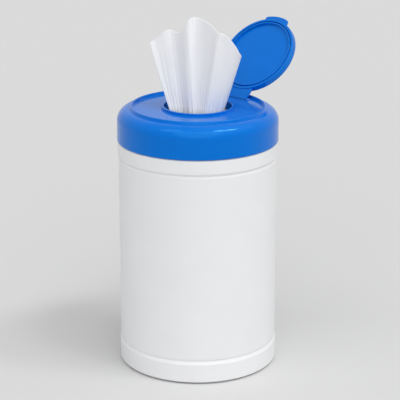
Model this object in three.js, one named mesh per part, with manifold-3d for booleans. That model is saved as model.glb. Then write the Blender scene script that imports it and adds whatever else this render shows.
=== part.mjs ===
// A canister of wet wipes: a blow-moulded canister, a push-on cap with a dispensing hole and a flip lid,
// the centre-pull roll of wipes inside, and the wipe that is pulled up through the hole.
// Millimetres, +Z up. The origin is on the canister's axis, at the level that it stands on. The lid's
// hinge lies towards +Y, and its axis runs along X.

import * as THREE from "three";
import { mergeVertices } from "three/addons/utils/BufferGeometryUtils.js";
import Module from "manifold-3d";

// Clearances
const seatGap = 0.3; // between pieces that rest on each other
const slideGap = 0.3; // between the snap beads as they pass, and round the seal and the collar
const lidGap = 0.4; // between the closed lid and the collar

// Canister
const bodyRadius = 54.8;
const bodyWall = 1.2;
const panelRecess = 0.55; // the label panel lies this deep in the wall
const panelBottom = 14.1; // height of the band below the panel
const topBand = 9.4; // height of the band above the panel
const panelStep = 2.6; // height of the slope at the panel's lower edge, and half that at its upper edge
const footRadius = 2.2; // rounding at the foot
const shoulderRadius = 1.2; // rounding under the cap
const pushUp = 1.2; // how far the base's middle is raised
const ringWidth = 6.5; // the ring that the canister stands on
const pushUpSlope = 3; // width of the slope from the ring to the raised middle
const neckWall = 1.2;
const neckHeight = 15;
const neckBead = 0.25; // how far the snap bead stands out of the neck
const neckBeadHeight = 7.2; // above the canister's shoulder
const beadHalfHeight = 0.9;

// Cap
const capStep = 0.2; // the cap stands out of the canister by this much
const capFlare = 0.2; // the skirt is this much wider at its lower edge
const capWall = 1.4;
const capBead = 0.3; // how far the cap's snap bead stands in from its skirt
const capBeadHeight = 3.6; // above the skirt's lower edge
const capShoulder = 8.2; // radius of the rounding from the skirt to the top
const deckHeight = 21.8; // of the flat top above the skirt's lower edge
const deckThickness = 1.8;
const lipInset = 8.4; // from the cap's side to the raised ring around its top
const lipWidth = 2.5;
const lipHeight = 1.9;
const lipSlope = 0.5; // each side of the ring leans in by this much
const holeShare = 0.42; // the hole's radius as a share of the cap's
const collarWall = 1.7;
const collarHeight = 1.6; // above the deck
const throatDepth = 2.4; // below the deck's lower face
const sealWall = 1;
const sealReach = 3.2; // how far the seal reaches into the neck
const edgeRounding = 0.5;

// Flip lid
const lidMargin = 3.9; // the lid is this much wider than the collar, each side
const lidHeight = 5;
const lidRimWidth = 1.8;
const lidPlate = 1.5;
const lidRounding = 1.2;
const lidPanelInset = 3.6; // from the lid's edge to its sunk top panel
const lidPanelSlope = 1.2;
const gripWall = 1.1; // of the ring inside the rim, which closes round the collar
const tabReach = 3.1; // of the thumb tab past the lid's edge
const tabHalfAngle = 19;
const tabThickness = 2;
const tabHeight = 1.5; // of the tab's lower face above the lid's rim

// Hinge
const lidOpening = 132; // degrees, from closed to fully open
const hingeReach = 7.3; // from the lid's edge to the hinge's axis
const strapHalfWidth = 11;
const strapThickness = 1.8;
const strapSetback = 0.5; // the strap's face lies this much behind the lid's rim
const landMargin = 1.2; // the raised land is this much wider than the strap, each side
const landDepth = 5.4; // of the land, along Y
const bevelSpare = 1; // degrees between the strap's bevelled end and the land

// Roll and wipe
const rollRoom = 3.55; // between the roll and the canister's wall
const headRoom = 5.7; // from the roll's top to the canister's shoulder
const rollHeight = 150; // the wipes' width
const coreRadius = 16;
const rollRounding = 1.5;
const turnGrooves = 4;
const grooveDepth = 0.8;
const wipeThickness = 0.8; // the sheet with its fine crinkles
const fanHeight = 61; // of the highest fold above the collar
const fanHalfWidth = 32;
const fanTurn = 43.5; // degrees about Z, from the hinge's side plane to the fan's own
const waistDepth = 1.2; // the sheet is narrowest this far below the collar's top
const tailReach = 14; // how far the sheet's lower end reaches into the core
const tailSqueeze = 0.62; // width between the hole and the roll, as a share of the waist's
const throatSqueeze = 0.97; // width at the throat's lower end, as a share of the waist's
const fanFlare = 0.95; // below 1, the sheet spreads faster just above the waist
const fanLevels = [0, 0.12, 0.45, 0.8, 1]; // shares of the fan's height at which its lines are drawn

// Smoothness
const roundSteps = 60;
const rollSteps = 40;
const lidSteps = 56;
const filletSteps = 3;
const shoulderSteps = 6;
const wipeAcross = 66;
const wipeAlong = 15;

// Sizes and places that follow from these
const panelRadius = bodyRadius - panelRecess;
const innerRadius = panelRadius - bodyWall;
const baseFloor = pushUp + bodyWall;
const rollRadius = innerRadius - rollRoom;
const rollBottom = baseFloor + seatGap;
const rollTop = rollBottom + rollHeight;
const bodyTop = rollTop + headRoom;
const panelTop = bodyTop - topBand;
const capRadius = bodyRadius + capStep;
const capBottom = bodyTop + seatGap;
const capInner = capRadius - capWall;
const neckRadius = capInner - capBead - slideGap - neckBead;
const neckInner = neckRadius - neckWall;
const neckTop = bodyTop + neckHeight;
const deckTop = capBottom + deckHeight;
const deckUnder = deckTop - deckThickness;
const shoulderCentreR = capRadius - capShoulder;
const shoulderCentreZ = deckTop - capShoulder;
const lipOuterRadius = capRadius - lipInset;
const lipTop = deckTop + lipHeight;
const holeRadius = capRadius * holeShare;
const collarTop = deckTop + collarHeight;
const collarRadius = holeRadius + collarWall;
const throatBottom = deckUnder - throatDepth;
const sealOuter = neckInner - slideGap;
const sealBottom = neckTop - sealReach;
const lidRadius = collarRadius + lidMargin;
const lidRim = deckTop + seatGap;
const lidFloor = collarTop + lidGap;
const lidTop = lidRim + lidHeight;
const lidPanel = lidFloor + lidPlate;
const gripInner = collarRadius + slideGap;
const gripOuter = gripInner + gripWall;
const rimInner = lidRadius - lidRimWidth;
const hingeDistance = lidRadius + hingeReach;
const hingeZ = lidRim + strapSetback;
const landTop = hingeZ - seatGap;

const wasm = await Module();
wasm.setup();

const radians = THREE.MathUtils.degToRad;

// Points of a profile, each a radius and a height
const at = (r, z) => new THREE.Vector2(r, z);

function arc(centreR, centreZ, radius, from, to, steps) {
  const points = [];
  for (let i = 0; i <= steps; i++) {
    const angle = radians(from + ((to - from) * i) / steps);
    points.push(at(centreR + radius * Math.cos(angle), centreZ + radius * Math.sin(angle)));
  }
  return points;
}

// A low rounded bead on a wall, from its lower end to its upper end, or downwards where height is negative
function bead(wallR, middleZ, reach, halfHeight) {
  return [
    at(wallR, middleZ - halfHeight),
    at(wallR + reach, middleZ - halfHeight / 3),
    at(wallR + reach, middleZ + halfHeight / 3),
    at(wallR, middleZ + halfHeight),
  ];
}

// A profile turned about Z. It runs anticlockwise, with its radius to the right.
function turned(profile, steps) {
  return new THREE.LatheGeometry(profile, steps).rotateX(Math.PI / 2);
}

function closed(profile) {
  return [...profile, profile[0].clone()];
}

// An outline in the YZ plane, extruded along X from -halfWidth to halfWidth
function barAlongX(outline, halfWidth) {
  const shape = new THREE.Shape(outline.map(([y, z]) => new THREE.Vector2(y, z)));
  const bar = new THREE.ExtrudeGeometry(shape, { depth: 2 * halfWidth, bevelEnabled: false });
  const turn = new THREE.Matrix4().makeBasis(
    new THREE.Vector3(0, 1, 0),
    new THREE.Vector3(0, 0, 1),
    new THREE.Vector3(1, 0, 0),
  );
  return bar.applyMatrix4(turn).translate(-halfWidth, 0, 0);
}

function toSolid(geometry) {
  const bare = new THREE.BufferGeometry();
  const whole = geometry.index ? geometry.toNonIndexed() : geometry;
  bare.setAttribute("position", whole.getAttribute("position"));
  const merged = mergeVertices(bare, 1e-4);
  const corners = [];
  for (let i = 0; i < merged.index.count; i += 3) {
    const [a, b, c] = merged.index.array.slice(i, i + 3);
    if (a !== b && b !== c && c !== a) corners.push(a, b, c);
  }
  const vertProperties = merged.getAttribute("position").array;
  const mesh = new wasm.Mesh({ numProp: 3, vertProperties, triVerts: new Uint32Array(corners) });
  return new wasm.Manifold(mesh);
}

function toGeometry(solid) {
  const made = solid.getMesh();
  const geometry = new THREE.BufferGeometry();
  geometry.setAttribute("position", new THREE.BufferAttribute(made.vertProperties, 3));
  geometry.setIndex(new THREE.BufferAttribute(made.triVerts, 1));
  geometry.computeVertexNormals();
  return geometry;
}

function plastic(color, roughness) {
  return new THREE.MeshStandardMaterial({ color, roughness, metalness: 0 });
}

// Canister, one blow moulding: foot ring, raised base, recessed label panel, shoulder and neck
function canisterGeometry() {
  const ringOuter = bodyRadius - footRadius;
  const ringInner = ringOuter - ringWidth;
  const beadZ = bodyTop + neckBeadHeight;
  return turned(
    [
      at(0, pushUp),
      at(ringInner - pushUpSlope, pushUp),
      at(ringInner, 0),
      ...arc(ringOuter, footRadius, footRadius, -90, 0, filletSteps),
      at(bodyRadius, panelBottom),
      at(panelRadius, panelBottom + panelStep),
      at(panelRadius, panelTop - panelStep / 2),
      at(bodyRadius, panelTop),
      ...arc(bodyRadius - shoulderRadius, bodyTop - shoulderRadius, shoulderRadius, 0, 90, filletSteps),
      at(neckRadius, bodyTop),
      ...bead(neckRadius, beadZ, neckBead, beadHalfHeight),
      at(neckRadius, neckTop - edgeRounding),
      at(neckRadius - edgeRounding, neckTop),
      at(neckInner, neckTop),
      at(neckInner, bodyTop),
      at(innerRadius, bodyTop - 2 * shoulderRadius),
      at(innerRadius, footRadius + bodyWall),
      at(ringOuter - bodyWall, bodyWall),
      at(ringInner, bodyWall),
      at(ringInner - pushUpSlope, baseFloor),
      at(0, baseFloor),
    ],
    roundSteps,
  );
}

// The cap's section: skirt, rounded shoulder, raised ring, deck, collar, throat and neck seal
function capProfile() {
  const lipInner = lipOuterRadius - lipWidth;
  const lipRounding = lipSlope;
  const innerCorner = capShoulder - capWall;
  const sealAngle = THREE.MathUtils.radToDeg(Math.acos((sealOuter - shoulderCentreR) / innerCorner));
  const beadZ = capBottom + capBeadHeight;
  const skirtInner = [...bead(capInner, beadZ, -capBead, beadHalfHeight)].reverse();
  return closed([
    at(capInner, capBottom + edgeRounding),
    at(capInner + edgeRounding, capBottom),
    at(capRadius + capFlare - edgeRounding, capBottom),
    at(capRadius + capFlare, capBottom + edgeRounding),
    ...arc(shoulderCentreR, shoulderCentreZ, capShoulder, 0, 90, shoulderSteps),
    at(lipOuterRadius, deckTop),
    at(lipOuterRadius - lipSlope, lipTop - lipRounding),
    at(lipOuterRadius - lipSlope - lipRounding, lipTop),
    at(lipInner + lipSlope + lipRounding, lipTop),
    at(lipInner + lipSlope, lipTop - lipRounding),
    at(lipInner, deckTop),
    at(collarRadius, deckTop),
    at(collarRadius, collarTop - edgeRounding),
    at(collarRadius - edgeRounding, collarTop),
    at(holeRadius + edgeRounding, collarTop),
    at(holeRadius, collarTop - edgeRounding),
    at(holeRadius, throatBottom),
    at(collarRadius - edgeRounding, throatBottom),
    at(collarRadius - edgeRounding, deckUnder),
    at(sealOuter - sealWall, deckUnder),
    at(sealOuter - sealWall, sealBottom + edgeRounding),
    at(sealOuter - edgeRounding, sealBottom),
    at(sealOuter, sealBottom + edgeRounding),
    ...arc(shoulderCentreR, shoulderCentreZ, innerCorner, sealAngle, 0, filletSteps),
    ...skirtInner,
  ]);
}

// The raised land that the lid's strap is hinged to
function hingeLand() {
  const halfWidth = strapHalfWidth + landMargin;
  const lowY = hingeDistance - landDepth / 4;
  const highY = lowY + landDepth;
  const rise = landTop - deckTop;
  return barAlongX(
    [
      [lowY - rise, deckTop - deckThickness / 2],
      [highY + rise, deckTop - deckThickness / 2],
      [highY + rise, deckTop],
      [highY, landTop],
      [lowY, landTop],
      [lowY - rise, deckTop],
    ],
    halfWidth,
  );
}

function capGeometry() {
  const cap = toSolid(turned(capProfile(), roundSteps));
  return toGeometry(cap.add(toSolid(hingeLand())));
}

// The lid as it lies when closed: rim, sunk top panel, and the ring that closes round the collar
function lidDisc() {
  const rounding = lidRounding;
  const ringTip = edgeRounding / 2;
  return turned(
    [
      at(0, lidFloor),
      at(gripInner, lidFloor),
      at(gripInner + ringTip, lidRim),
      at(gripOuter - ringTip, lidRim),
      at(gripOuter, lidFloor),
      at(rimInner, lidFloor),
      at(rimInner, lidRim + edgeRounding / 2),
      at(rimInner + edgeRounding / 2, lidRim),
      at(lidRadius - edgeRounding, lidRim),
      at(lidRadius, lidRim + edgeRounding),
      ...arc(lidRadius - rounding, lidTop - rounding, rounding, 0, 90, filletSteps),
      at(lidRadius - lidPanelInset + lidPanelSlope, lidTop),
      at(lidRadius - lidPanelInset, lidPanel),
      at(0, lidPanel),
    ],
    lidSteps,
  );
}

// The thumb tab, a short arc that stands out of the lid's edge opposite the hinge
function thumbTab() {
  const tabOuter = lidRadius + tabReach;
  const root = lidRadius - lidRimWidth / 2;
  const corner = tabReach / 3;
  const start = radians(-90 - tabHalfAngle);
  const end = radians(-90 + tabHalfAngle);
  const trim = corner / tabOuter;
  const shape = new THREE.Shape();
  shape.moveTo(root * Math.cos(start), root * Math.sin(start));
  shape.lineTo((tabOuter - corner) * Math.cos(start), (tabOuter - corner) * Math.sin(start));
  shape.absarc(0, 0, tabOuter, start + trim, end - trim, false);
  shape.lineTo((tabOuter - corner) * Math.cos(end), (tabOuter - corner) * Math.sin(end));
  shape.lineTo(root * Math.cos(end), root * Math.sin(end));
  shape.absarc(0, 0, root, end, start, true);
  const tab = new THREE.ExtrudeGeometry(shape, { depth: tabThickness, bevelEnabled: false });
  return tab.translate(0, 0, lidRim + tabHeight);
}

// The strap from the lid's edge to the hinge. Its end is bevelled so that it lies on the land when open.
function hingeStrap() {
  const low = hingeZ;
  const high = hingeZ + strapThickness;
  const bevel = strapThickness / Math.tan(radians(180 - lidOpening - bevelSpare));
  const root = lidRadius - 2 * lidRimWidth;
  return barAlongX(
    [
      [root, low],
      [hingeDistance, low],
      [hingeDistance - bevel, high],
      [root, high],
    ],
    strapHalfWidth,
  );
}

// What of the strap's root would stand inside the lid's rim is cut away
function lidGeometry() {
  const inside = turned(
    [at(0, deckTop), at(rimInner, deckTop), at(rimInner, lidFloor), at(0, lidFloor)],
    lidSteps,
  );
  const strap = toSolid(hingeStrap()).subtract(toSolid(inside));
  const lid = toSolid(lidDisc()).add(toSolid(thumbTab())).add(strap);
  const geometry = toGeometry(lid);
  geometry.translate(0, -hingeDistance, -hingeZ);
  return geometry;
}

// The roll: its turns show as grooves in its upper face
function rollGeometry() {
  const pitch = (rollRadius - rollRounding - coreRadius) / (turnGrooves + 1);
  const top = [];
  for (let i = turnGrooves; i >= 1; i--) {
    const middle = coreRadius + pitch * i;
    top.push(at(middle + grooveDepth, rollTop));
    top.push(at(middle, rollTop - grooveDepth));
    top.push(at(middle - grooveDepth, rollTop));
  }
  return turned(
    closed([
      at(coreRadius, rollBottom),
      at(rollRadius - rollRounding, rollBottom),
      at(rollRadius, rollBottom + rollRounding),
      at(rollRadius, rollTop - rollRounding),
      at(rollRadius - rollRounding, rollTop),
      ...top,
      at(coreRadius, rollTop),
    ]),
    rollSteps,
  );
}

// The fan's folds, from behind its left edge round the front to behind its right edge. For each fold
// line: where it ends at the top edge, as shares of the fan's half width (across, back) and height, and
// where it passes the waist, as shares of the room in the hole (across, back). A share below zero is to
// the left or in front.
const foldLines = [
  { top: [-0.28, 0.3, 0.62], waist: [-0.4, 0.02] },
  { top: [-0.56, 0.34, 0.64], waist: [-0.56, 0.1] },
  { top: [-0.86, 0.26, 0.67], waist: [-0.72, -0.1] },
  { top: [-1.02, 0.16, 0.678], waist: [-0.83, -0.47] },
  { top: [-0.94, 0.17, 0.713], waist: [-0.78, -0.46] },
  { top: [-0.82, 0.15, 0.764], waist: [-0.71, -0.47] },
  { top: [-0.69, 0.11, 0.829], waist: [-0.61, -0.5] },
  { top: [-0.57, 0.11, 0.843], waist: [-0.52, -0.5] },
  { top: [-0.45, 0.03, 0.818], waist: [-0.4, -0.57] },
  { top: [-0.31, -0.14, 0.856], waist: [-0.23, -0.78] },
  { top: [-0.21, -0.19, 0.965], waist: [-0.11, -0.82] },
  { top: [-0.13, -0.16, 0.998], waist: [-0.05, -0.79] },
  { top: [-0.05, -0.15, 1.003], waist: [-0.01, -0.77] },
  { top: [0.07, -0.2, 0.993], waist: [0.05, -0.79] },
  { top: [0.19, -0.31, 0.97], waist: [0.13, -0.85] },
  { top: [0.32, -0.45, 0.928], waist: [0.19, -0.91] },
  { top: [0.43, -0.61, 0.876], waist: [0.24, -0.95] },
  { top: [0.52, -0.61, 0.874], waist: [0.35, -0.9] },
  { top: [0.62, -0.62, 0.835], waist: [0.51, -0.82] },
  { top: [0.77, -0.62, 0.741], waist: [0.69, -0.7] },
  { top: [0.87, -0.61, 0.646], waist: [0.76, -0.49] },
  { top: [0.86, 0.1, 0.56], waist: [0.78, 0.05] },
  { top: [0.58, 0.27, 0.6], waist: [0.6, 0.12] },
  { top: [0.25, 0.28, 0.62], waist: [0.42, 0.02] },
];

// A smooth line across the sheet at one level, from one point for each fold line
function across(points) {
  const line = new THREE.CatmullRomCurve3(points, false, "centripetal");
  const steps = Array.from({ length: wipeAcross + 1 }, (_, i) => i / wipeAcross);
  return steps.map((share) => line.getPoint(share));
}

// The sheet's lines across it, from its lower end in the core to its top edge
function sheetLevels() {
  const room = holeRadius - seatGap - wipeThickness / 2;
  const core = (coreRadius - seatGap - wipeThickness / 2) / room;
  const waistZ = collarTop - waistDepth;
  const squeezed = (share, z) =>
    foldLines.map(({ waist: [x, y] }) => new THREE.Vector3(x * room * share, y * room * share, z));
  const risen = (share) =>
    foldLines.map(({ top: [x, y, z], waist: [waistX, waistY] }) => {
      const wide = THREE.MathUtils.lerp(waistX * room, x * fanHalfWidth, share ** fanFlare);
      const back = THREE.MathUtils.lerp(waistY * room, y * fanHalfWidth, share ** fanFlare);
      const rise = THREE.MathUtils.lerp(waistZ, collarTop + z * fanHeight, share);
      return new THREE.Vector3(wide, back, rise);
    });
  return [
    squeezed(core, rollTop - tailReach),
    squeezed(core, rollTop),
    squeezed(tailSqueeze, (rollTop + throatBottom) / 2),
    squeezed(throatSqueeze, throatBottom),
    ...fanLevels.map(risen),
  ].map(across);
}

// The sheet's middle surface: a point for each step along and across it
function sheetSurface() {
  const levels = sheetLevels();
  const rows = Array.from({ length: wipeAlong + 1 }, () => []);
  for (let i = 0; i <= wipeAcross; i++) {
    const line = new THREE.CatmullRomCurve3(
      levels.map((level) => level[i]),
      false,
      "centripetal",
    );
    for (let j = 0; j <= wipeAlong; j++) rows[j].push(line.getPoint(j / wipeAlong));
  }
  return rows;
}

// The sheet with its thickness: two faces half a thickness each side of the surface, and a rim
function wipeGeometry() {
  const rows = sheetSurface();
  const front = [];
  const back = [];
  rows.forEach((row, j) => {
    row.forEach((point, i) => {
      const along = new THREE.Vector3().subVectors(
        rows[Math.min(j + 1, wipeAlong)][i],
        rows[Math.max(j - 1, 0)][i],
      );
      const sideways = new THREE.Vector3().subVectors(
        row[Math.min(i + 1, wipeAcross)],
        row[Math.max(i - 1, 0)],
      );
      const normal = sideways.cross(along).normalize();
      front.push(point.clone().addScaledVector(normal, wipeThickness / 2));
      back.push(point.clone().addScaledVector(normal, -wipeThickness / 2));
    });
  });
  const points = [...front, ...back];
  const width = wipeAcross + 1;
  const corners = [];
  const quad = (a, b, c, d) => corners.push(a, b, c, a, c, d);
  const key = (i, j) => j * width + i;
  const under = front.length;
  for (let j = 0; j < wipeAlong; j++) {
    for (let i = 0; i < wipeAcross; i++) {
      const square = [key(i, j), key(i + 1, j), key(i + 1, j + 1), key(i, j + 1)];
      quad(...square);
      quad(...square.map((corner) => corner + under).reverse());
    }
    quad(key(0, j + 1), key(0, j + 1) + under, key(0, j) + under, key(0, j));
    quad(
      key(wipeAcross, j),
      key(wipeAcross, j) + under,
      key(wipeAcross, j + 1) + under,
      key(wipeAcross, j + 1),
    );
  }
  for (let i = 0; i < wipeAcross; i++) {
    quad(key(i, 0), key(i, 0) + under, key(i + 1, 0) + under, key(i + 1, 0));
    quad(
      key(i + 1, wipeAlong),
      key(i + 1, wipeAlong) + under,
      key(i, wipeAlong) + under,
      key(i, wipeAlong),
    );
  }
  const geometry = new THREE.BufferGeometry();
  geometry.setAttribute("position", new THREE.Float32BufferAttribute(points.flatMap((p) => p.toArray()), 3));
  geometry.setIndex(corners);
  geometry.computeVertexNormals();
  return geometry;
}

function piece(name, geometry, material) {
  const mesh = new THREE.Mesh(geometry, material);
  mesh.name = name;
  return mesh;
}

const canisterWhite = plastic("#f3f4f5", 0.42);
const capBlue = plastic("#0a67cf", 0.32);
const wipeWhite = new THREE.MeshStandardMaterial({ color: "#f4f5f6", roughness: 0.9, metalness: 0 });

const pack = new THREE.Group();

const base = new THREE.Group();
base.add(piece("canister", canisterGeometry(), canisterWhite));
base.add(piece("wipes_roll", rollGeometry(), wipeWhite));
pack.add(base);

const closure = new THREE.Group();
closure.add(piece("cap", capGeometry(), capBlue));
pack.add(closure);

const lidPivot = new THREE.Group();
lidPivot.position.set(0, hingeDistance, hingeZ);
lidPivot.rotation.x = -radians(lidOpening);
lidPivot.add(piece("flip_lid", lidGeometry(), capBlue));
closure.add(lidPivot);

const fan = new THREE.Group();
fan.rotation.z = radians(fanTurn);
fan.add(piece("pulled_wipe", wipeGeometry(), wipeWhite));
closure.add(fan);

export default pack;
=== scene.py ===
# A canister of wet wipes with its flip lid open and one wipe pulled up.
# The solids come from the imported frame, and this script gives them their fine shapes, finishes and light.
import bmesh
import bpy
import math
from mathutils import Matrix, Vector, noise


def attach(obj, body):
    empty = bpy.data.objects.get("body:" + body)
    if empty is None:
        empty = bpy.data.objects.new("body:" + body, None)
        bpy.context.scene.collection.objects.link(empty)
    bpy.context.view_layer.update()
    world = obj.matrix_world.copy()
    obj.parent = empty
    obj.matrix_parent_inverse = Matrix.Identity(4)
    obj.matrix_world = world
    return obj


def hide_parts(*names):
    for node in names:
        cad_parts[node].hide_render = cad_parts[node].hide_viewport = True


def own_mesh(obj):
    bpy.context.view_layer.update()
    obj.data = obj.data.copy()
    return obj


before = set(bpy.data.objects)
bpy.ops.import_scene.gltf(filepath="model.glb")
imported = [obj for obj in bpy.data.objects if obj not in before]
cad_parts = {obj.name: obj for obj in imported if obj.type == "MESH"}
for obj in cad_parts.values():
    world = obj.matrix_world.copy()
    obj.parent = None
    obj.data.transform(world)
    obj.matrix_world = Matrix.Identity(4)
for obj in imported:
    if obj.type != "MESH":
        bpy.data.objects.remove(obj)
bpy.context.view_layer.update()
print("frame loaded:", sorted(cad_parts))

# Up to the camera, sizes are in mm and angles in degrees
mm = 0.001
rounding = {"segments": 5, "wide": 5, "wideSegments": 20, "mergeDistance": 1e-6}
sharpEdge = {"angle": 32, "segments": 2}


# An sRGB hex value as the linear colour that the shaders take
def hexColour(code):
    channels = [int(code[i:i + 2], 16) / 255 for i in (1, 3, 5)]
    return [c / 12.92 if c <= 0.04045 else ((c + 0.055) / 1.055) ** 2.4 for c in channels] + [1.0]


# A node with its settings, and its sockets set or linked
def addNode(tree, kind, inputs=None, **settings):
    made = tree.nodes.new(kind)
    for name, value in settings.items():
        setattr(made, name, value)
    for name, value in (inputs or {}).items():
        socket = made.inputs[name]
        if isinstance(value, bpy.types.NodeSocket):
            tree.links.new(value, socket)
        else:
            socket.default_value = value
    return made


def newMaterial(name):
    made = bpy.data.materials.new(name)
    made.use_nodes = True
    made.node_tree.nodes.clear()
    return made


# A section in the XZ plane, spun about Z. Each corner is a radius, a height and the length that its
# rounding takes of each side, in mm. An open section starts and ends on the axis.
def spinSection(bm, corners, steps, loop=False, segments=rounding["segments"]):
    points = [bm.verts.new((radius * mm, 0, height * mm)) for radius, height, _ in corners]
    for start, end in zip(points, points[1:] + ([points[0]] if loop else [])):
        bm.edges.new((start, end))
    sizes = [size for _, _, size in corners]
    for size in sorted(set(sizes) - {0}):
        chosen = [point for point, own in zip(points, sizes) if own == size]
        count = rounding["wideSegments"] if size >= rounding["wide"] else segments
        bmesh.ops.bevel(bm, geom=chosen, offset=size * mm, offset_type="OFFSET", affect="VERTICES",
                        segments=count, profile=0.5, material=-1)
    bmesh.ops.spin(bm, geom=bm.verts[:] + bm.edges[:], cent=(0, 0, 0), axis=(0, 0, 1), dvec=(0, 0, 0),
                   angle=2 * math.pi, steps=steps, use_merge=True, use_duplicate=False)
    bmesh.ops.remove_doubles(bm, verts=bm.verts, dist=rounding["mergeDistance"])
    bmesh.ops.recalc_face_normals(bm, faces=bm.faces)


# The finished piece: smooth faces, a fine rounding on what is still sharp, and normals that keep flats flat
def finishPiece(bm, name, material, edgeRounding=0.0):
    for face in bm.faces:
        face.smooth = True
    mesh = bpy.data.meshes.new(name)
    bm.to_mesh(mesh)
    bm.free()
    piece = bpy.data.objects.new(name, mesh)
    bpy.context.scene.collection.objects.link(piece)
    mesh.materials.append(material)
    if edgeRounding:
        rounded = piece.modifiers.new("edges", "BEVEL")
        rounded.limit_method = "ANGLE"
        rounded.angle_limit = math.radians(sharpEdge["angle"])
        rounded.width = edgeRounding * mm
        rounded.segments = sharpEdge["segments"]
        rounded.use_clamp_overlap = True
        flats = piece.modifiers.new("flats", "WEIGHTED_NORMAL")
        flats.keep_sharp = False
    return piece


# White high-density polyethylene, blow moulded: satin, with the sandblasted mould's fine grain and
# the slow waviness of a wall that was blown thin
def blowMouldedPolyethylene():
    material = newMaterial("blowMouldedPolyethylene")
    tree = material.node_tree
    place = addNode(tree, "ShaderNodeTexCoord")
    grain = addNode(tree, "ShaderNodeTexNoise", {
        "Vector": place.outputs["Object"], "Scale": 1 / (0.9 * mm), "Detail": 3, "Roughness": 0.6})
    waves = addNode(tree, "ShaderNodeTexNoise", {
        "Vector": place.outputs["Object"], "Scale": 1 / (22 * mm), "Detail": 2, "Roughness": 0.4})
    tone = addNode(tree, "ShaderNodeMix", {
        "Factor": waves.outputs["Fac"], "A": hexColour("#edeef0"), "B": hexColour("#f2f3f4")},
        data_type="RGBA")
    shine = addNode(tree, "ShaderNodeMapRange", {
        "Value": grain.outputs["Fac"], "From Min": 0.3, "From Max": 0.7, "To Min": 0.4, "To Max": 0.5})
    slow = addNode(tree, "ShaderNodeBump", {
        "Height": waves.outputs["Fac"], "Strength": 0.12, "Distance": 0.6 * mm})
    fine = addNode(tree, "ShaderNodeBump", {
        "Height": grain.outputs["Fac"], "Normal": slow.outputs["Normal"], "Strength": 0.18,
        "Distance": 0.05 * mm})
    plastic = addNode(tree, "ShaderNodeBsdfPrincipled", {
        "Base Color": tone.outputs[2], "Roughness": shine.outputs["Result"], "IOR": 1.54,
        "Normal": fine.outputs["Normal"], "Subsurface Weight": 0.12,
        "Subsurface Radius": (1.0, 1.0, 1.0), "Subsurface Scale": 1.5 * mm})
    addNode(tree, "ShaderNodeOutputMaterial", {"Surface": plastic.outputs["BSDF"]})
    return material


# Blue polypropylene, injection moulded: semi-gloss, the colour even with the faintest flow clouds,
# and a skin that ripples the highlights a little
def mouldedPolypropylene():
    material = newMaterial("mouldedPolypropylene")
    tree = material.node_tree
    place = addNode(tree, "ShaderNodeTexCoord")
    flow = addNode(tree, "ShaderNodeTexNoise", {
        "Vector": place.outputs["Object"], "Scale": 1 / (14 * mm), "Detail": 2, "Roughness": 0.5})
    skin = addNode(tree, "ShaderNodeTexNoise", {
        "Vector": place.outputs["Object"], "Scale": 1 / (0.6 * mm), "Detail": 2, "Roughness": 0.6})
    tone = addNode(tree, "ShaderNodeMix", {
        "Factor": flow.outputs["Fac"], "A": hexColour("#006cd1"), "B": hexColour("#0072db")},
        data_type="RGBA")
    shine = addNode(tree, "ShaderNodeMapRange", {
        "Value": flow.outputs["Fac"], "From Min": 0.3, "From Max": 0.7, "To Min": 0.13, "To Max": 0.18})
    ripple = addNode(tree, "ShaderNodeBump", {
        "Height": flow.outputs["Fac"], "Strength": 0.06, "Distance": 0.3 * mm})
    fine = addNode(tree, "ShaderNodeBump", {
        "Height": skin.outputs["Fac"], "Normal": ripple.outputs["Normal"], "Strength": 0.06,
        "Distance": 0.03 * mm})
    # the photo's saturated blue leaves no red in the reflections, and the tint does the same
    plastic = addNode(tree, "ShaderNodeBsdfPrincipled", {
        "Base Color": tone.outputs[2], "Roughness": shine.outputs["Result"], "IOR": 1.49,
        "Specular IOR Level": 0.4, "Specular Tint": hexColour("#88f6ff"), "Normal": fine.outputs["Normal"]})
    addNode(tree, "ShaderNodeOutputMaterial", {"Surface": plastic.outputs["BSDF"]})
    return material


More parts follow.
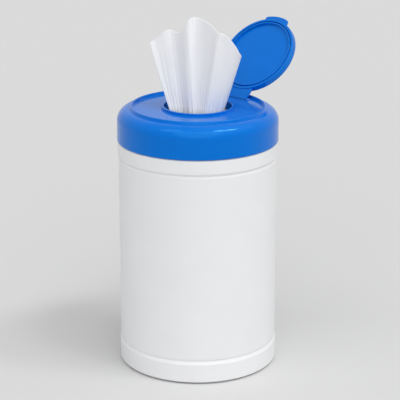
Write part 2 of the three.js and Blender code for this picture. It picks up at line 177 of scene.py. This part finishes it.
# Spunlace viscose and polyester nonwoven, moist: matt and a little translucent, with the staggered
# dimples of the water jets' screen and fibres that lie mostly along the web
def moistNonwoven(name, useSheet):
    material = newMaterial(name)
    tree = material.node_tree
    if useSheet:
        place = addNode(tree, "ShaderNodeUVMap", uv_map="sheetMetres").outputs["UV"]
    else:
        place = addNode(tree, "ShaderNodeTexCoord").outputs["Object"]
    along = addNode(tree, "ShaderNodeMapping", {"Vector": place, "Scale": (1, 0.25, 1)})
    fibres = addNode(tree, "ShaderNodeTexNoise", {
        "Vector": along.outputs["Vector"], "Scale": 1 / (0.7 * mm), "Detail": 4, "Roughness": 0.65})
    # the screen's dimples are about 1 mm apart, and are drawn 1.8 mm apart so that they show
    dimples = addNode(tree, "ShaderNodeTexVoronoi", {
        "Vector": place, "Scale": 1 / (1.8 * mm), "Randomness": 0.25}, feature="SMOOTH_F1")
    clouds = addNode(tree, "ShaderNodeTexNoise", {
        "Vector": place, "Scale": 1 / (12 * mm), "Detail": 3, "Roughness": 0.55})
    tone = addNode(tree, "ShaderNodeMix", {
        "Factor": clouds.outputs["Fac"], "A": hexColour("#edeef1"), "B": hexColour("#f3f4f6")},
        data_type="RGBA")
    weave = addNode(tree, "ShaderNodeBump", {
        "Height": dimples.outputs["Distance"], "Strength": 0.22, "Distance": 0.12 * mm})
    fuzz = addNode(tree, "ShaderNodeBump", {
        "Height": fibres.outputs["Fac"], "Normal": weave.outputs["Normal"], "Strength": 0.25,
        "Distance": 0.08 * mm})
    cloth = addNode(tree, "ShaderNodeBsdfPrincipled", {
        "Base Color": tone.outputs[2], "Roughness": 0.78, "IOR": 1.4,
        "Normal": fuzz.outputs["Normal"], "Subsurface Weight": 0.2,
        "Subsurface Radius": (1.0, 1.0, 1.0), "Subsurface Scale": 1.5 * mm,
        "Sheen Weight": 0.15, "Sheen Roughness": 0.5})
    addNode(tree, "ShaderNodeOutputMaterial", {"Surface": cloth.outputs["BSDF"]})
    return material


canisterPlastic = blowMouldedPolyethylene()
capPlastic = mouldedPolypropylene()
rollCloth = moistNonwoven("moistNonwovenRoll", False)
sheetCloth = moistNonwoven("moistNonwovenSheet", True)
print("materials made")

canister = {
    "radius": 54.8, "top": 158.4, "wall": 1.2,
    "heelRounding": 1.2, "heelLift": 1.0, "shoulderRounding": 1.2,
    "pushUp": 1.2, "ringRadius": 50.8, "ringWidth": 4.5, "ringSlope": 3, "ringFlare": 0.6,
    "panelDepth": 0.55, "panelTop": 149, "upperStep": 1.6, "panelBottom": 14.1, "lowerStep": 2.3,
    "grooveDepth": 0.5, "grooveSlope": 1.5, "stepRounding": 0.25,
    "neckRadius": 52.75, "neckHeight": 15, "neckSlope": 2.4,
    "beadHeight": 7.2, "bead": 0.25, "beadHalf": 0.9,
    "edgeRounding": 0.1, "steps": 180,
}


def makeCanister():
    c = canister
    ringInner = c["ringRadius"] - c["ringWidth"]
    panel = c["radius"] - c["panelDepth"]
    inner = panel - c["wall"]
    neckInner = c["neckRadius"] - c["wall"]
    neckTop = c["top"] + c["neckHeight"]
    beadMiddle = c["top"] + c["beadHeight"]
    grooveMiddle = c["panelBottom"] + c["lowerStep"]
    step = c["stepRounding"]
    bm = bmesh.new()
    # from the middle of the base up the outside to the neck's rim, and down the inside
    spinSection(bm, [
        (0, c["pushUp"], 0),
        (ringInner - c["ringSlope"], c["pushUp"], 1),
        (ringInner, 0, 0.6),
        (c["ringRadius"], 0, 0.3),
        (c["ringRadius"] + c["ringFlare"], c["heelLift"], 0.2),
        (c["radius"], c["heelLift"], c["heelRounding"]),
        (c["radius"], c["panelBottom"], step),
        (panel - c["grooveDepth"], grooveMiddle, step),
        (panel, grooveMiddle + c["grooveSlope"], step),
        (panel, c["panelTop"] - c["upperStep"] - c["grooveSlope"], step),
        (panel - c["grooveDepth"], c["panelTop"] - c["upperStep"], step),
        (c["radius"], c["panelTop"], step),
        (c["radius"], c["top"], c["shoulderRounding"]),
        (c["neckRadius"], c["top"], 0),
        (c["neckRadius"], beadMiddle - c["beadHalf"], 0),
        (c["neckRadius"] + c["bead"], beadMiddle, 0.3),
        (c["neckRadius"], beadMiddle + c["beadHalf"], 0),
        (c["neckRadius"], neckTop, 0.5),
        (neckInner, neckTop, 0.3),
        (neckInner, c["top"], 1),
        (inner, c["top"] - c["neckSlope"], 1),
        (inner, c["wall"] + c["heelLift"] + c["heelRounding"], 0),
        (c["ringRadius"] - c["wall"], c["wall"], 0),
        (ringInner, c["wall"], 0),
        (ringInner - c["ringSlope"], c["pushUp"] + c["wall"], 0),
        (0, c["pushUp"] + c["wall"], 0),
    ], c["steps"])
    piece = finishPiece(bm, "canister_body", canisterPlastic, c["edgeRounding"])
    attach(piece, "base")
    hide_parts("canister")


makeCanister()
print("canister made")

roll = {
    "radius": 49.5, "bottom": 2.7, "top": 152.7, "core": 16, "edgeRounding": 1.5,
    "turnPitch": 1.4, "turnDepth": 0.5, "turnRounding": 0.25, "coreMargin": 0.5,
    "unevenBand": 2, "unevenSize": 9, "unevenDepth": 0.35, "unevenLevel": 0.6,
    "segments": 3, "steps": 120,
}


def makeRoll():
    r = roll
    bm = bmesh.new()
    # the turns of the wound wipes, from the outermost to the core
    turns = []
    radius = r["radius"] - r["edgeRounding"]
    while radius - r["turnPitch"] > r["core"] + r["coreMargin"]:
        turns.append((radius - 0.5 * r["turnPitch"], r["top"] - r["turnDepth"], 0))
        turns.append((radius - r["turnPitch"], r["top"], r["turnRounding"]))
        radius -= r["turnPitch"]
    spinSection(bm, [
        (r["core"], r["bottom"], 0.5),
        (r["radius"], r["bottom"], r["edgeRounding"]),
        (r["radius"], r["top"], r["edgeRounding"]),
        *turns,
        (r["core"], r["top"], 0.3),
    ], r["steps"], loop=True, segments=r["segments"])
    # the turns were never cut dead level: parts of the top face lie a fraction of a millimetre lower
    for point in bm.verts:
        if point.co.z > (r["top"] - r["unevenBand"]) * mm:
            lift = noise.noise(point.co * (1 / (r["unevenSize"] * mm))) - r["unevenLevel"]
            point.co.z += r["unevenDepth"] * mm * min(lift, 0)
    piece = finishPiece(bm, "wipe_roll", rollCloth)
    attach(piece, "base")
    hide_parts("wipes_roll")


makeRoll()
print("roll made")

cap = {
    "radius": 55, "flare": 0.2, "wall": 1.4, "bottom": 158.7, "shoulder": 8.2, "deck": 180.5,
    "deckThickness": 1.8, "lipOuter": 46.6, "lipWidth": 2.5, "lipHeight": 1.9, "lipSlope": 0.5,
    "hole": 23.1, "collarWall": 1.7, "collarHeight": 1.6, "throat": 2.4, "throatStep": 0.5,
    "sealOuter": 51.25, "sealWall": 1, "sealBottom": 170.2, "innerSlope": 5.1,
    "bead": 0.3, "beadHeight": 3.6, "beadHalf": 0.9,
    "landWidth": 24.4, "landDepth": 5.4, "landTop": 181.0, "landSunk": 0.9, "landBevel": 0.8,
    "edgeRounding": 0.12, "steps": 180,
}
# The hinge line's place behind the axis, and how far the lid stands open
hinge = {"distance": 36, "height": 181.3, "opening": 132}


def makeCap():
    c = cap
    inner = c["radius"] - c["wall"]
    innerCorner = c["deck"] - c["shoulder"]
    deckUnder = c["deck"] - c["deckThickness"]
    lipTop = c["deck"] + c["lipHeight"]
    lipInner = c["lipOuter"] - c["lipWidth"]
    collarOuter = c["hole"] + c["collarWall"]
    collarTop = c["deck"] + c["collarHeight"]
    throatOuter = collarOuter - c["throatStep"]
    throatBottom = deckUnder - c["throat"]
    beadMiddle = c["bottom"] + c["beadHeight"]
    bm = bmesh.new()
    # from the skirt's lower edge over the top to the hole, and back under the deck
    spinSection(bm, [
        (inner, c["bottom"], 0.3),
        (c["radius"] + c["flare"], c["bottom"], 0.5),
        (c["radius"], c["deck"], c["shoulder"]),
        (c["lipOuter"], c["deck"], 0.25),
        (c["lipOuter"] - c["lipSlope"], lipTop, 0.6),
        (lipInner + c["lipSlope"], lipTop, 0.6),
        (lipInner, c["deck"], 0.35),
        (collarOuter, c["deck"], 0.2),
        (collarOuter, collarTop, 0.45),
        (c["hole"], collarTop, 0.45),
        (c["hole"], throatBottom, 0.3),
        (throatOuter, throatBottom, 0.2),
        (throatOuter, deckUnder, 0),
        (c["sealOuter"] - c["sealWall"], deckUnder, 0),
        (c["sealOuter"] - c["sealWall"], c["sealBottom"], 0.3),
        (c["sealOuter"], c["sealBottom"], 0.3),
        (c["sealOuter"], innerCorner + c["innerSlope"], 0),
        (inner, innerCorner, 0),
        (inner, beadMiddle + c["beadHalf"], 0),
        (inner - c["bead"], beadMiddle, 0.3),
        (inner, beadMiddle - c["beadHalf"], 0),
    ], c["steps"], loop=True)
    # the land that the lid's strap is hinged to, sunk into the deck
    rise = c["landTop"] - c["deck"]
    depth = c["landDepth"] + 2 * rise
    thickness = rise + c["landSunk"]
    middleY = hinge["distance"] + c["landDepth"] / 4
    middleZ = c["landTop"] - thickness / 2
    land = bmesh.ops.create_cube(bm, size=1)["verts"]
    bmesh.ops.scale(bm, verts=land, vec=(c["landWidth"] * mm, depth * mm, thickness * mm))
    bmesh.ops.translate(bm, verts=land, vec=(0, middleY * mm, middleZ * mm))
    upper = [point for point in land if point.co.z > middleZ * mm]
    crown = [side for side in bm.edges if all(point in upper for point in side.verts)]
    bmesh.ops.bevel(bm, geom=crown, offset=rise * c["landBevel"] * mm, offset_type="OFFSET",
                    affect="EDGES", segments=3, profile=0.5, material=-1)
    piece = finishPiece(bm, "push_cap", capPlastic, c["edgeRounding"])
    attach(piece, "closure")
    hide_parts("cap")


makeCap()
print("cap made")

lid = {
    "radius": 28.7, "rim": 180.8, "floor": 182.5, "top": 185.8, "panel": 184.0, "rimWidth": 1.8,
    "rounding": 1.2, "panelInset": 3.6, "panelSlope": 1.2, "ring": 26.2, "ringWall": 1.1,
    "tabLow": 182.3, "tabHigh": 184.3, "tabReach": 3.1, "tabHalfAngle": 20,
    "tabEnds": 8, "tabEndReach": 0.4,
    "strapLow": 181.3, "strapHigh": 183.1, "strapHalfAngle": 22.5, "strapClearAngle": 1,
    "wallSlack": 0.2, "edgeRounding": 0.18, "steps": 144,
}


# Faces of the lid's outer wall between two heights, on one side of it
def wallFaces(bm, low, high, towards, halfAngle):
    found = []
    for face in bm.faces:
        middle = face.calc_center_median()
        reach = math.hypot(middle.x, middle.y)
        if reach < (lid["radius"] - lid["wallSlack"]) * mm or not low * mm < middle.z < high * mm:
            continue
        if abs(math.degrees(math.atan2(middle.x, middle.y * towards))) < halfAngle:
            found.append(face)
    return found


# The faces drawn out of the wall, as the points that are free to be placed
def drawnOut(bm, faces):
    grown = bmesh.ops.extrude_face_region(bm, geom=faces)["geom"]
    points = [item for item in grown if isinstance(item, bmesh.types.BMVert)]
    bmesh.ops.delete(bm, geom=faces, context="FACES_ONLY")
    return points


def makeLid():
    d = lid
    rimInner = d["radius"] - d["rimWidth"]
    ringInner = d["ring"] - d["ringWall"]
    bm = bmesh.new()
    # from the middle of the inner face out to the rim, and back over the outer face. The corners
    # without a rounding are the heights between which the strap and the tab are drawn out
    spinSection(bm, [
        (0, d["floor"], 0),
        (ringInner, d["floor"], 0.25),
        (ringInner, d["rim"], 0.3),
        (d["ring"], d["rim"], 0.3),
        (d["ring"], d["floor"], 0.15),
        (rimInner, d["floor"], 0.15),
        (rimInner, d["rim"], 0.25),
        (d["radius"], d["rim"], 0.35),
        (d["radius"], d["strapLow"], 0),
        (d["radius"], d["tabLow"], 0),
        (d["radius"], d["strapHigh"], 0),
        (d["radius"], d["tabHigh"], 0),
        (d["radius"], d["top"], d["rounding"]),
        (d["radius"] - d["panelInset"] + d["panelSlope"], d["top"], 0.4),
        (d["radius"] - d["panelInset"], d["panel"], 0.4),
        (0, d["panel"], 0),
    ], d["steps"])
    # the thumb tab, drawn out of the wall opposite the hinge, and shorter at its ends
    for point in drawnOut(bm, wallFaces(bm, d["tabLow"], d["tabHigh"], -1, d["tabHalfAngle"])):
        share = abs(math.degrees(math.atan2(point.co.x, -point.co.y))) / d["tabHalfAngle"]
        reach = d["tabReach"] * math.sqrt(max(0, 1 - share ** d["tabEnds"])) + d["tabEndReach"]
        outwards = Vector((point.co.x, point.co.y, 0)).normalized()
        point.co += outwards * min(reach, d["tabReach"]) * mm
    # the strap, drawn out of the wall to the hinge line, with a slanted end that clears the land
    lean = 1 / math.tan(math.radians(180 - hinge["opening"] - d["strapClearAngle"]))
    for point in drawnOut(bm, wallFaces(bm, d["strapLow"], d["strapHigh"], 1, d["strapHalfAngle"])):
        rise = point.co.z / mm - d["strapLow"]
        point.co.y = (hinge["distance"] - rise * lean) * mm
    bmesh.ops.recalc_face_normals(bm, faces=bm.faces)
    # the lid is shaped closed, and turned open last
    bmesh.ops.rotate(bm, verts=bm.verts, cent=(0, hinge["distance"] * mm, hinge["height"] * mm),
                     matrix=Matrix.Rotation(math.radians(-hinge["opening"]), 3, "X"))
    piece = finishPiece(bm, "hinged_lid", capPlastic, d["edgeRounding"])
    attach(piece, "lid")
    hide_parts("flip_lid")


makeLid()
print("lid made")

# Each fold line, from behind the sheet's left edge round the front to behind its right edge, as the
# camera sees it: where it ends at the top edge, as shares of the fan's half width (across, back) and
# height, and where it passes the waist, as shares of the room in the hole (across, back)
foldLines = [
    ((-0.28, 0.3, 0.62), (-0.4, 0.02)),
    ((-0.56, 0.34, 0.64), (-0.56, 0.1)),
    ((-0.86, 0.26, 0.67), (-0.72, -0.1)),
    ((-1.02, 0.16, 0.678), (-0.83, -0.47)),
    ((-0.94, 0.17, 0.713), (-0.78, -0.46)),
    ((-0.82, 0.15, 0.764), (-0.71, -0.47)),
    ((-0.69, 0.11, 0.829), (-0.61, -0.5)),
    ((-0.57, 0.11, 0.843), (-0.52, -0.5)),
    ((-0.45, 0.03, 0.818), (-0.4, -0.57)),
    ((-0.31, -0.14, 0.856), (-0.23, -0.78)),
    ((-0.21, -0.19, 0.965), (-0.11, -0.82)),
    ((-0.13, -0.16, 0.998), (-0.05, -0.79)),
    ((-0.05, -0.15, 1.003), (-0.01, -0.77)),
    ((0.07, -0.2, 0.993), (0.05, -0.79)),
    ((0.19, -0.31, 0.97), (0.13, -0.85)),
    ((0.32, -0.45, 0.928), (0.19, -0.91)),
    ((0.43, -0.61, 0.876), (0.24, -0.95)),
    ((0.52, -0.61, 0.874), (0.35, -0.9)),
    ((0.62, -0.62, 0.835), (0.51, -0.82)),
    ((0.77, -0.62, 0.741), (0.69, -0.7)),
    ((0.87, -0.61, 0.646), (0.76, -0.49)),
    ((0.86, 0.1, 0.56), (0.78, 0.05)),
    ((0.58, 0.27, 0.6), (0.6, 0.12)),
    ((0.25, 0.28, 0.62), (0.42, 0.02)),
]
wipe = {
    "width": 150, "length": 100, "thickness": 0.5, "halfWidth": 32, "height": 61, "turn": 43.5,
    "collarTop": 182.1, "waistDepth": 1.2, "room": 22.4, "throatBottom": 176.3, "coreRoom": 14.6,
    "tailReach": 14, "tailSqueeze": 0.62, "throatSqueeze": 0.96, "flare": 0.95,
    "fanLevels": (0, 0.12, 0.45, 0.8, 1), "across": 330, "along": 120,
    "creaseWidth": 1.2, "creaseWeights": (1, 2, 3, 2, 1),
    "crinkle": 0.2, "crinkleSize": 8, "crinkleStretch": 3.5, "crinklePlace": 3.7,
    "fineCrinkle": 0.5, "fineCrinkleRate": 2.3,
    "pleats": 26, "pleatWander": 2.5, "pleatWanderRate": 9, "pleatWanderPlace": (0.3, 1.1),
    "pleatOutside": 0.25, "pleatReach": 14, "pleatInside": 1.3, "pleatInsideDepth": 8,
}


# A point on the smooth line through the points, its knots spaced by the square root of their distance
def lineThrough(points, share):
    knots = [0.0]
    for start, end in zip(points, points[1:]):
        knots.append(knots[-1] + max(math.sqrt((end - start).length), 1e-4))
    place = share * (len(points) - 1)
    i = min(int(place), len(points) - 2)
    t = knots[i] + (place - i) * (knots[i + 1] - knots[i])
    p1, p2 = points[i], points[i + 1]
    p0 = points[i - 1] if i else p1 * 2 - p2
    p3 = points[i + 2] if i + 2 < len(points) else p2 * 2 - p1
    gap = knots[i + 1] - knots[i]
    before = math.sqrt(max((p1 - p0).length, 1e-8))
    after = math.sqrt(max((p3 - p2).length, 1e-8))
    m1 = ((p1 - p0) / before - (p2 - p0) / (before + gap) + (p2 - p1) / gap) * gap
    m2 = ((p2 - p1) / gap - (p3 - p1) / (gap + after) + (p3 - p2) / after) * gap
    s = (t - knots[i]) / gap
    return (p1 * (2 * s ** 3 - 3 * s ** 2 + 1) + m1 * (s ** 3 - 2 * s ** 2 + s)
            + p2 * (3 * s ** 2 - 2 * s ** 3) + m2 * (s ** 3 - s ** 2))


# The same line with its folds rounded off, by the weighted mean of the places on both sides
def softLine(points, share, reach):
    weights = wipe["creaseWeights"]
    mean = Vector((0, 0, 0))
    for place, weight in enumerate(weights, -(len(weights) // 2)):
        mean += lineThrough(points, min(max(share + place * reach, 0), 1)) * weight / sum(weights)
    return mean


# The sheet's lines across it, from its lower end in the core to its top edge
def sheetLevels():
    w = wipe
    waistZ = w["collarTop"] - w["waistDepth"]

    def squeezed(room, height):
        return [Vector((x * room, y * room, height)) for _, (x, y) in foldLines]

    def risen(share):
        line = []
        for (x, y, z), (waistX, waistY) in foldLines:
            waistPoint = Vector((waistX * w["room"], waistY * w["room"], waistZ))
            topPoint = Vector((x * w["halfWidth"], y * w["halfWidth"], w["collarTop"] + z * w["height"]))
            spread = waistPoint.lerp(topPoint, share ** w["flare"])
            spread.z = waistPoint.lerp(topPoint, share).z
            line.append(spread)
        return line

    return [
        squeezed(w["coreRoom"], roll["top"] - w["tailReach"]),
        squeezed(w["coreRoom"], roll["top"]),
        squeezed(w["tailSqueeze"] * w["room"], (roll["top"] + w["throatBottom"]) / 2),
        squeezed(w["throatSqueeze"] * w["room"], w["throatBottom"]),
        *[risen(share) for share in w["fanLevels"]],
    ]


def makeWipe():
    w = wipe
    levels = sheetLevels()
    bm = bmesh.new()
    sheetMetres = bm.loops.layers.uv.new("sheetMetres")
    bmesh.ops.create_grid(bm, x_segments=w["across"], y_segments=w["along"], size=0.5)
    for face in bm.faces:
        for corner in face.loops:
            corner[sheetMetres].uv = ((corner.vert.co.x + 0.5) * w["width"] * mm,
                                      (corner.vert.co.y + 0.5) * w["length"] * mm)
    shares = {point: (point.co.x + 0.5, point.co.y + 0.5) for point in bm.verts}
    columns = {}
    for point, (across, _) in shares.items():
        columns.setdefault(round(across * w["across"]), []).append(point)
    for points in columns.values():
        across = shares[points[0]][0]
        line = [softLine(level, across, w["creaseWidth"] / w["width"]) for level in levels]
        for point in points:
            point.co = lineThrough(line, shares[point][1])
    # a crinkle all over, and small pleats that fade out above the waist and grow deeper below it
    bm.normal_update()
    waistZ = w["collarTop"] - w["waistDepth"]
    for point, (across, along) in shares.items():
        above = point.co.z - waistZ
        drawn = Vector((across * w["width"] / w["crinkleSize"],
                        along * w["length"] / w["crinkleSize"] / w["crinkleStretch"], w["crinklePlace"]))
        fine = w["fineCrinkle"] * noise.noise(drawn * w["fineCrinkleRate"])
        crinkle = w["crinkle"] * (noise.noise(drawn) + fine)
        wander = noise.noise(Vector((across * w["pleatWanderRate"], *w["pleatWanderPlace"])))
        tuck = math.sin(2 * math.pi * w["pleats"] * across + w["pleatWander"] * wander)
        if above > 0:
            pleat = w["pleatOutside"] * math.exp(-above / w["pleatReach"])
        else:
            deeper = min(-above / w["pleatInsideDepth"], 1)
            pleat = w["pleatOutside"] + (w["pleatInside"] - w["pleatOutside"]) * deeper
        point.co += point.normal * (crinkle + pleat * tuck)
    bmesh.ops.rotate(bm, verts=bm.verts, cent=(0, 0, 0),
                     matrix=Matrix.Rotation(math.radians(w["turn"]), 3, "Z"))
    bmesh.ops.scale(bm, verts=bm.verts, vec=(mm, mm, mm))
    piece = finishPiece(bm, "fanned_wipe", sheetCloth)
    thick = piece.modifiers.new("thickness", "SOLIDIFY")
    thick.thickness = w["thickness"] * mm
    thick.offset = 0
    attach(piece, "closure")
    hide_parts("pulled_wipe")
    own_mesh(piece)


makeWipe()
print("wipe made")

# The camera is turned round the canister, to the right of the side away from the hinge. The distances
# are in metres, the angles in degrees and the lens and its sensor in mm
view = {
    "turn": 43.5, "back": 1.0443, "height": 0.4471, "down": 17.67,
    "lens": 142.59, "sensor": 36, "shift": 0.0055,
}


# A place as the camera sees it, in metres: to the right of the canister's axis, behind it, and up
def fromCamera(right, behind, up):
    return Matrix.Rotation(math.radians(view["turn"]), 3, "Z") @ Vector((right, behind, up))


def makeCamera():
    camera = bpy.data.objects.new("camera", bpy.data.cameras.new("camera"))
    bpy.context.scene.collection.objects.link(camera)
    camera.location = fromCamera(0, -view["back"], view["height"])
    camera.rotation_euler = (math.radians(90 - view["down"]), 0, math.radians(view["turn"]))
    camera.data.sensor_width = view["sensor"]
    camera.data.lens = view["lens"]
    camera.data.shift_x = view["shift"]
    bpy.context.scene.camera = camera


makeCamera()
print("camera set")

# The floor in metres; each lamp is a sun with the place it shines from as the camera sees it, and the
# angle in degrees that it looks wide
studio = {
    "floorSize": 9, "floorColour": "#d8d8d8", "skyColour": "#dadada", "skyLight": 0.45,
    "key": {"from": (0, -1.05, 0.8), "strength": 0.8, "spread": 60},
    "top": {"from": (0.44, -0.26, 0.86), "strength": 0.5, "spread": 70},
    "stripNear": {"from": (0.36, -0.29, 0.88), "strength": 0.38, "spread": 11},
    "stripFar": {"from": (0.53, -0.16, 0.83), "strength": 0.38, "spread": 11},
    "fill": {"from": (-0.42, -0.26, 0.86), "strength": 0.28, "spread": 26},
}


# Background paper off the roll, pale grey: dead matt, with the faintest fibre
def studioPaper():
    material = newMaterial("studioPaper")
    tree = material.node_tree
    place = addNode(tree, "ShaderNodeTexCoord")
    fibre = addNode(tree, "ShaderNodeTexNoise", {
        "Vector": place.outputs["Object"], "Scale": 0.9 / mm, "Detail": 2})
    lie = addNode(tree, "ShaderNodeBump", {
        "Height": fibre.outputs["Fac"], "Strength": 0.05, "Distance": 0.1 * mm})
    matt = addNode(tree, "ShaderNodeBsdfDiffuse", {
        "Color": hexColour(studio["floorColour"]), "Normal": lie.outputs["Normal"]})
    addNode(tree, "ShaderNodeOutputMaterial", {"Surface": matt.outputs["BSDF"]})
    return material


def makeFloor():
    bm = bmesh.new()
    bmesh.ops.create_grid(bm, x_segments=8, y_segments=8, size=studio["floorSize"] / 2)
    paper = studioPaper()
    finishPiece(bm, "studio_floor", paper)


# The camera, gloss and clear things see the pale backdrop, and the rest gets the softer sky light
def makeWorld():
    world = bpy.data.worlds.new("studio")
    world.use_nodes = True
    tree = world.node_tree
    tree.nodes.clear()
    ray = addNode(tree, "ShaderNodeLightPath")
    seen = addNode(tree, "ShaderNodeMath", {
        0: ray.outputs["Is Camera Ray"], 1: ray.outputs["Is Glossy Ray"]}, operation="MAXIMUM")
    shown = addNode(tree, "ShaderNodeMath", {
        0: seen.outputs[0], 1: ray.outputs["Is Transmission Ray"]}, operation="MAXIMUM")
    light = addNode(tree, "ShaderNodeBackground", {"Color": (1, 1, 1, 1), "Strength": studio["skyLight"]})
    sky = addNode(tree, "ShaderNodeBackground", {"Color": hexColour(studio["skyColour"]), "Strength": 1})
    mixed = addNode(tree, "ShaderNodeMixShader", {
        0: shown.outputs[0], 1: light.outputs["Background"], 2: sky.outputs["Background"]})
    addNode(tree, "ShaderNodeOutputWorld", {"Surface": mixed.outputs["Shader"]})
    bpy.context.scene.world = world


def makeLamp(name):
    settings = studio[name]
    lamp = bpy.data.objects.new(name, bpy.data.lights.new(name, "SUN"))
    bpy.context.scene.collection.objects.link(lamp)
    lamp.data.energy = settings["strength"]
    lamp.data.angle = math.radians(settings["spread"])
    lamp.rotation_mode = "QUATERNION"
    lamp.rotation_quaternion = fromCamera(*settings["from"]).to_track_quat("Z", "Y")


makeFloor()
makeWorld()
for name in ("key", "top", "stripNear", "stripFar", "fill"):
    makeLamp(name)
bpy.context.scene.view_settings.view_transform = "Standard"
print("studio made")
